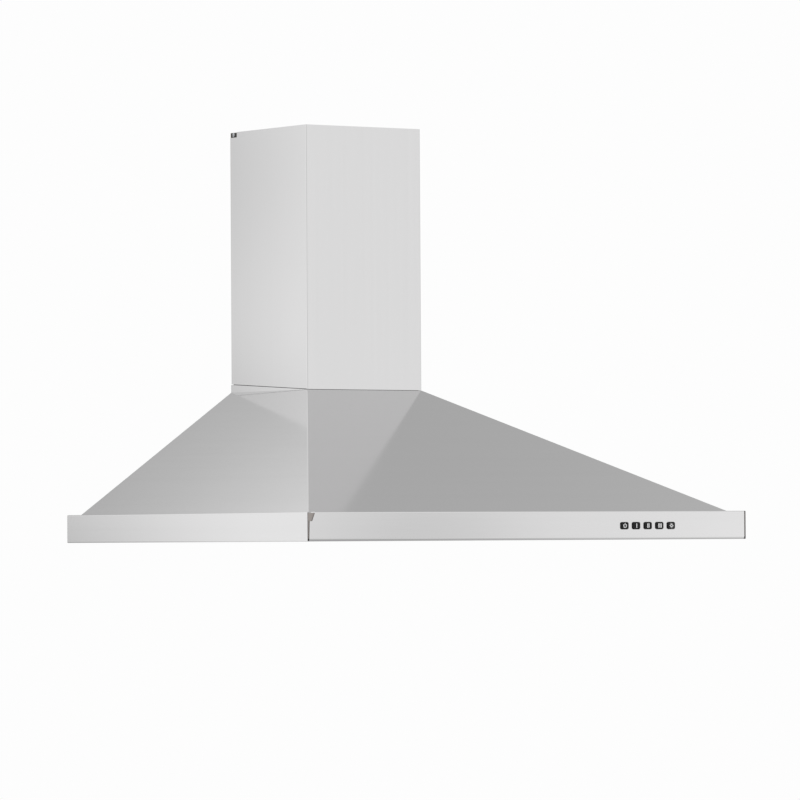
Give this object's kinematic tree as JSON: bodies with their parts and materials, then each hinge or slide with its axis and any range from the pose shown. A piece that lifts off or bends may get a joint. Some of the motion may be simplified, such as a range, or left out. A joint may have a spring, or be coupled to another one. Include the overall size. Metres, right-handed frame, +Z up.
{
  "type": "chimney range hood",
  "caption": "Wall-mounted chimney range hood: sloping stainless canopy with a level rim, square chimney, push buttons, swing-down grease filters and a fan with back-draught flaps.",
  "frame": {"origin": "centre of the bottom rim, on the plane that the rim rests on", "axes": "+Z up, +Y towards the wall, +X to the right as the hood is seen from the front"},
  "size_m": [0.6, 0.5, 0.48],
  "materials": {
    "black_steel": "black-coated steel",
    "button_black": "glossy black plastic",
    "cable": "dark cable sheath",
    "capacitor": "white plastic can",
    "electric_grey": "grey moulded plastic",
    "fan_plastic": "white moulded plastic",
    "filter_aluminium": "pressed aluminium, matt",
    "flap": "dark grey plastic",
    "galvanised": "dull galvanised sheet",
    "gland_nylon": "black nylon",
    "housing_plastic": "dark grey moulded plastic",
    "lamp_bezel": "polished bezel",
    "lamp_glass": "frosted glass",
    "lamp_module": "cast aluminium heat sink",
    "motor_steel": "zinc-plated steel",
    "pin_steel": "turned steel",
    "rubber": "black rubber",
    "stainless": "fine-grained satin stainless steel",
    "switch_plastic": "off-white moulded plastic"
  },
  "bodies": {
    "hood": {"canopy_shell": "stainless", "front_fascia": "stainless", "side_band_left": "stainless", "side_band_right": "stainless", "rear_panel": "galvanised", "wall_hooks": "galvanised", "chimney_cover": "stainless", "chimney_bracket": "black_steel", "chimney_screws": "pin_steel", "under_pan": "stainless", "filter_hinges": "pin_steel", "latch_catches": "pin_steel", "lamp_ring_left": "lamp_bezel", "lamp_ring_right": "lamp_bezel", "lamp_lens_left": "lamp_glass", "lamp_lens_right": "lamp_glass", "lamp_module_left": "lamp_module", "lamp_module_right": "lamp_module", "switch_body": "switch_plastic", "switch_bracket": "galvanised", "top_plate": "galvanised", "fan_housing_front": "housing_plastic", "fan_housing_rear": "housing_plastic", "inlet_ring_front": "housing_plastic", "inlet_ring_rear": "housing_plastic", "motor_can": "motor_steel", "motor_stator": "pin_steel", "motor_cap": "motor_steel", "motor_bearings": "pin_steel", "motor_mount": "galvanised", "motor_bushes": "rubber", "outlet_collar": "housing_plastic", "damper_pin": "pin_steel", "pan_head_screws": "pin_steel", "terminal_box": "electric_grey", "terminal_lid": "electric_grey", "capacitor": "capacitor", "cable_gland": "gland_nylon", "supply_lead": "cable", "switch_harness": "cable", "harness_clips": "pin_steel"},
    "extension": {"chimney_extension": "stainless"},
    "fan": {"impeller": "fan_plastic", "motor_shaft": "pin_steel", "motor_rotor": "pin_steel"},
    "flap_front": {"damper_flap_front": "flap"},
    "flap_rear": {"damper_flap_rear": "flap"},
    "filter_left": {"filter_frame_left": "filter_aluminium", "filter_mesh_left": "filter_aluminium", "filter_pins_left": "pin_steel"},
    "filter_right": {"filter_frame_right": "filter_aluminium", "filter_mesh_right": "filter_aluminium", "filter_pins_right": "pin_steel"},
    "latch_left": {"filter_latch_left": "housing_plastic"},
    "latch_right": {"filter_latch_right": "housing_plastic"},
    "button_1": {"button_1": "button_black"},
    "button_2": {"button_2": "button_black"},
    "button_3": {"button_3": "button_black"},
    "button_4": {"button_4": "button_black"},
    "button_5": {"button_5": "button_black"}
  },
  "joints": [
    {"name": "extension_slide", "type": "slide", "parent": "hood", "child": "extension", "axis": [0, 0, 1], "range_m": [0, 0.25]},
    {"name": "fan_spin", "type": "hinge", "parent": "hood", "child": "fan", "pos_m": [0.0375, 0.16, 0.108], "axis": [0, 1, 0], "continuous": true},
    {"name": "flap_front_swing", "type": "hinge", "parent": "hood", "child": "flap_front", "pos_m": [0, 0.16, 0.1952], "axis": [-1, 0, 0], "range_deg": [0, 70]},
    {"name": "flap_rear_swing", "type": "hinge", "parent": "hood", "child": "flap_rear", "pos_m": [0, 0.16, 0.1952], "axis": [1, 0, 0], "range_deg": [0, 70]},
    {"name": "filter_left_swing", "type": "hinge", "parent": "hood", "child": "filter_left", "pos_m": [-0.127, 0.1675, 0.0086], "axis": [1, 0, 0], "range_deg": [0, 80]},
    {"name": "latch_left_slide", "type": "slide", "parent": "filter_left", "child": "latch_left", "axis": [0, 1, 0], "range_m": [0, 0.005], "stiffness_N_per_m": 200},
    {"name": "filter_right_swing", "type": "hinge", "parent": "hood", "child": "filter_right", "pos_m": [0.127, 0.1675, 0.0086], "axis": [1, 0, 0], "range_deg": [0, 80]},
    {"name": "latch_right_slide", "type": "slide", "parent": "filter_right", "child": "latch_right", "axis": [0, 1, 0], "range_m": [0, 0.005], "stiffness_N_per_m": 200},
    {"name": "button_1_press", "type": "slide", "parent": "hood", "child": "button_1", "axis": [0, 1, 0], "range_m": [0, 0.0025], "stiffness_N_per_m": 400},
    {"name": "button_2_press", "type": "slide", "parent": "hood", "child": "button_2", "axis": [0, 1, 0], "range_m": [0, 0.0025], "stiffness_N_per_m": 400},
    {"name": "button_3_press", "type": "slide", "parent": "hood", "child": "button_3", "axis": [0, 1, 0], "range_m": [0, 0.0025], "stiffness_N_per_m": 400},
    {"name": "button_4_press", "type": "slide", "parent": "hood", "child": "button_4", "axis": [0, 1, 0], "range_m": [0, 0.0025], "stiffness_N_per_m": 400},
    {"name": "button_5_press", "type": "slide", "parent": "hood", "child": "button_5", "axis": [0, 1, 0], "range_m": [0, 0.0025], "stiffness_N_per_m": 400}
  ]
}
